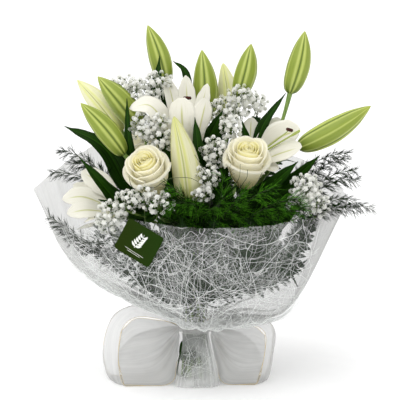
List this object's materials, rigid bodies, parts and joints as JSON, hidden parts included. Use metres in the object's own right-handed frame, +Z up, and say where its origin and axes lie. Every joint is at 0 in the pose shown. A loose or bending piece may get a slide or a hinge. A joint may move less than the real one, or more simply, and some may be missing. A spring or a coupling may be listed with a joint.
{
  "type": "mixed flower bouquet",
  "caption": "Hand-tied bouquet of lilies, lily buds, roses, baby's breath and fern in a sheer white fibre collar, standing on its stems and ribbon bow.",
  "frame": {"origin": "centre of the outline of the bouquet on the surface it stands on", "axes": "+Z up along the stems, -Y towards the front where the tag and the lowest edge of the collar are, +X to the right seen from the front"},
  "size_m": [0.4302, 0.303, 0.458],
  "materials": {
    "stem": "smooth green stem",
    "twine": "matt twisted fibre",
    "wrap_fibre": "fine translucent white nonwoven",
    "wrap_web": "coarse open web of white fibres",
    "ribbon": "sheer white ribbon with fine gold edges",
    "tag_card": "smooth printed card",
    "bud_green": "waxy yellow-green",
    "bud_cream": "waxy cream",
    "lily_petal": "satin white",
    "stamen": "matt green with brown anthers",
    "rose_petal": "velvety cream white",
    "leaf": "glossy dark green",
    "leatherleaf": "leathery dark green",
    "asparagus_fern": "feathery mid green",
    "babys_breath": "matt white florets"
  },
  "bodies": {
    "root": {"lily_stem_middle": "stem", "lily_stem_left": "stem", "lily_stem_right": "stem", "rose_stem_left": "stem", "rose_stem_right": "stem", "rose_stem_back_left": "stem", "rose_stem_back_right": "stem", "stem_tie": "twine", "wrap_back_sheet": "wrap_fibre", "wrap_front_sheet": "wrap_web", "ribbon_band": "ribbon", "ribbon_loop_left": "ribbon", "ribbon_loop_right": "ribbon", "tag_card": "tag_card", "lily_bud_top_left": "bud_green", "lily_bud_middle_green": "bud_green", "lily_bud_upper_right": "bud_green", "lily_bud_tall_right": "bud_green", "lily_bud_far_right": "bud_green", "lily_bud_left_top": "bud_green", "lily_bud_left_front": "bud_green", "lily_bud_middle_cream": "bud_cream", "lily_bud_small_right": "bud_cream", "lily_bud_left_back": "bud_cream", "lily_bud_front_cream": "bud_cream", "rose_bloom_left": "rose_petal", "rose_bloom_right": "rose_petal", "rose_bloom_back_left": "rose_petal", "rose_bloom_back_right": "rose_petal", "lily_stamens_middle": "stamen", "lily_stamens_right": "stamen", "lily_stamens_left": "stamen", "lily_bloom_middle": "lily_petal", "lily_bloom_right": "lily_petal", "lily_bloom_left": "lily_petal", "leaf_left_long": "leaf", "leaf_left_low": "leaf", "leaf_left_narrow": "leaf", "leaf_top_left": "leaf", "leaf_top_middle": "leaf", "leaf_middle_front": "leaf", "leaf_right_upper": "leaf", "leaf_right_front": "leaf", "leaf_right_low": "leaf", "leatherleaf_front_left": "leatherleaf", "leatherleaf_front_right": "leatherleaf", "leatherleaf_back": "leatherleaf", "fern_left": "asparagus_fern", "fern_left_low": "asparagus_fern", "fern_front": "asparagus_fern", "fern_right_upper": "asparagus_fern", "fern_right_low": "asparagus_fern", "fern_back": "asparagus_fern", "breath_upper_left": "babys_breath", "breath_left": "babys_breath", "breath_right": "babys_breath", "breath_middle": "babys_breath", "breath_right_low": "babys_breath", "breath_left_low": "babys_breath", "breath_back": "babys_breath"}
  },
  "joints": []
}
